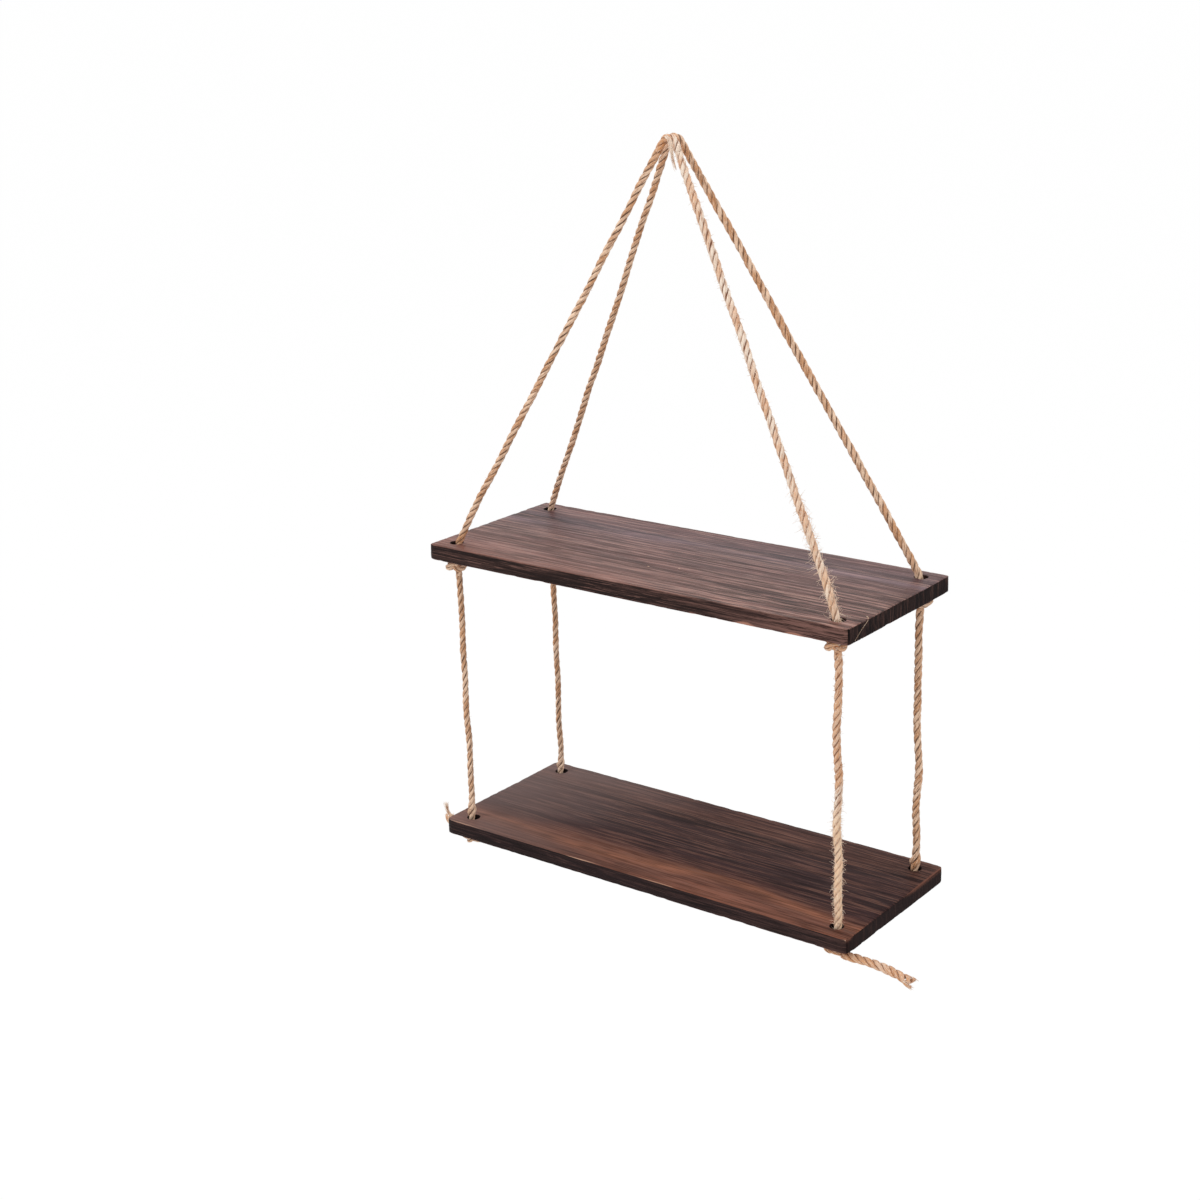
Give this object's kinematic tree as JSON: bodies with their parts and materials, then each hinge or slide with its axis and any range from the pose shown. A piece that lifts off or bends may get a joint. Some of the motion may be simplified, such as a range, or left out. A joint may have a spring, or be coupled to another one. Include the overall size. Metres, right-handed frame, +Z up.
{
  "type": "hanging rope shelf",
  "caption": "Hanging shelf: flat wooden boards one under the other, strung at their corners on twisted ropes that meet over one wall hook, with a knot under each board.",
  "frame": {"origin": "the place where both ropes rest on top of the hook, midway between them", "axes": "+Z up, +X to the right of someone who faces the shelf, -Y towards that person, +Y towards the wall"},
  "size_m": [0.4834, 0.15, 0.6097],
  "materials": {
    "upper_wood": "dark brown stained and scorched wood, matt, with a grey sheen on top and near-black sawn edges",
    "lower_wood": "dark brown stained and scorched wood, redder, rubbed to a pinkish tan along its front edge",
    "pale_rope": "pale cream three-strand jute rope with many loose hairs",
    "tan_rope": "tan three-strand jute rope, harder laid, with few loose hairs"
  },
  "bodies": {
    "rope_crowns": {"front_rope_crown": "pale_rope", "rear_rope_crown": "tan_rope"},
    "hook_turns": {"front_left_hook_turn": "tan_rope", "front_right_hook_turn": "pale_rope", "rear_left_hook_turn": "tan_rope", "rear_right_hook_turn": "tan_rope"},
    "upper_tier": {"upper_board": "upper_wood", "front_left_upper_leg": "tan_rope", "front_right_upper_leg": "pale_rope", "rear_left_upper_leg": "tan_rope", "rear_right_upper_leg": "tan_rope", "front_left_upper_knot": "tan_rope", "front_right_upper_knot": "pale_rope", "rear_left_upper_knot": "tan_rope", "rear_right_upper_knot": "tan_rope"},
    "front_left_neck": {"front_left_neck": "tan_rope"},
    "front_left_lower_leg": {"front_left_lower_leg": "tan_rope"},
    "front_right_neck": {"front_right_neck": "pale_rope"},
    "front_right_lower_leg": {"front_right_lower_leg": "pale_rope"},
    "rear_left_neck": {"rear_left_neck": "tan_rope"},
    "rear_left_lower_leg": {"rear_left_lower_leg": "tan_rope"},
    "rear_right_neck": {"rear_right_neck": "tan_rope"},
    "rear_right_lower_leg": {"rear_right_lower_leg": "tan_rope"},
    "front_left_foot": {"front_left_foot": "tan_rope"},
    "lower_tier": {"lower_board": "lower_wood", "front_right_foot": "pale_rope", "rear_left_foot": "tan_rope", "rear_right_foot": "tan_rope", "front_left_hole_stretch": "tan_rope", "front_right_hole_stretch": "pale_rope", "rear_left_hole_stretch": "tan_rope", "rear_right_hole_stretch": "tan_rope", "front_left_lower_knot": "tan_rope", "front_right_lower_knot": "pale_rope", "rear_left_lower_knot": "tan_rope", "rear_right_lower_knot": "tan_rope", "front_left_tail": "tan_rope", "front_right_tail": "pale_rope", "rear_left_tail": "tan_rope", "rear_right_tail": "tan_rope"}
  },
  "joints": [
    {"name": "shelf_sideways_swing", "type": "hinge", "parent": "rope_crowns", "child": "hook_turns", "pos_m": [0, 0, -0.003], "axis": [0, 1, 0], "range_deg": [-20, 20]},
    {"name": "shelf_fore_aft_swing", "type": "hinge", "parent": "hook_turns", "child": "upper_tier", "pos_m": [0, 0, -0.003], "axis": [1, 0, 0], "range_deg": [-20, 20]},
    {"name": "front_left_leg_sideways_swing", "type": "hinge", "parent": "upper_tier", "child": "front_left_neck", "pos_m": [-0.1825, -0.0598, -0.35107], "axis": [0, 1, 0], "range_deg": [-25, 25]},
    {"name": "front_left_leg_fore_aft_swing", "type": "hinge", "parent": "front_left_neck", "child": "front_left_lower_leg", "pos_m": [-0.1825, -0.0598, -0.35107], "axis": [1, 0, 0], "range_deg": [-25, 25]},
    {"name": "front_right_leg_sideways_swing", "type": "hinge", "parent": "upper_tier", "child": "front_right_neck", "pos_m": [0.1825, -0.0598, -0.35107], "axis": [0, 1, 0], "range_deg": [-25, 25]},
    {"name": "front_right_leg_fore_aft_swing", "type": "hinge", "parent": "front_right_neck", "child": "front_right_lower_leg", "pos_m": [0.1825, -0.0598, -0.35107], "axis": [1, 0, 0], "range_deg": [-25, 25]},
    {"name": "rear_left_leg_sideways_swing", "type": "hinge", "parent": "upper_tier", "child": "rear_left_neck", "pos_m": [-0.1825, 0.0598, -0.35107], "axis": [0, 1, 0], "range_deg": [-25, 25]},
    {"name": "rear_left_leg_fore_aft_swing", "type": "hinge", "parent": "rear_left_neck", "child": "rear_left_lower_leg", "pos_m": [-0.1825, 0.0598, -0.35107], "axis": [1, 0, 0], "range_deg": [-25, 25]},
    {"name": "rear_right_leg_sideways_swing", "type": "hinge", "parent": "upper_tier", "child": "rear_right_neck", "pos_m": [0.1825, 0.0598, -0.35107], "axis": [0, 1, 0], "range_deg": [-25, 25]},
    {"name": "rear_right_leg_fore_aft_swing", "type": "hinge", "parent": "rear_right_neck", "child": "rear_right_lower_leg", "pos_m": [0.1825, 0.0598, -0.35107], "axis": [1, 0, 0], "range_deg": [-25, 25]},
    {"name": "lower_tier_fore_aft_level", "type": "hinge", "parent": "front_left_lower_leg", "child": "front_left_foot", "pos_m": [-0.1825, -0.0598, -0.5645], "axis": [1, 0, 0], "range_deg": [-25, 25]},
    {"name": "lower_tier_sideways_level", "type": "hinge", "parent": "front_left_foot", "child": "lower_tier", "pos_m": [-0.1825, -0.0598, -0.5645], "axis": [0, 1, 0], "range_deg": [-25, 25]}
  ],
  "couplings": [
    {"joint": "front_right_leg_sideways_swing", "follows": "front_left_leg_sideways_swing", "ratio": 1},
    {"joint": "front_right_leg_fore_aft_swing", "follows": "front_left_leg_fore_aft_swing", "ratio": 1},
    {"joint": "rear_left_leg_sideways_swing", "follows": "front_left_leg_sideways_swing", "ratio": 1},
    {"joint": "rear_left_leg_fore_aft_swing", "follows": "front_left_leg_fore_aft_swing", "ratio": 1},
    {"joint": "rear_right_leg_sideways_swing", "follows": "front_left_leg_sideways_swing", "ratio": 1},
    {"joint": "rear_right_leg_fore_aft_swing", "follows": "front_left_leg_fore_aft_swing", "ratio": 1},
    {"joint": "lower_tier_fore_aft_level", "follows": "front_left_leg_fore_aft_swing", "ratio": -1},
    {"joint": "lower_tier_sideways_level", "follows": "front_left_leg_sideways_swing", "ratio": -1}
  ]
}
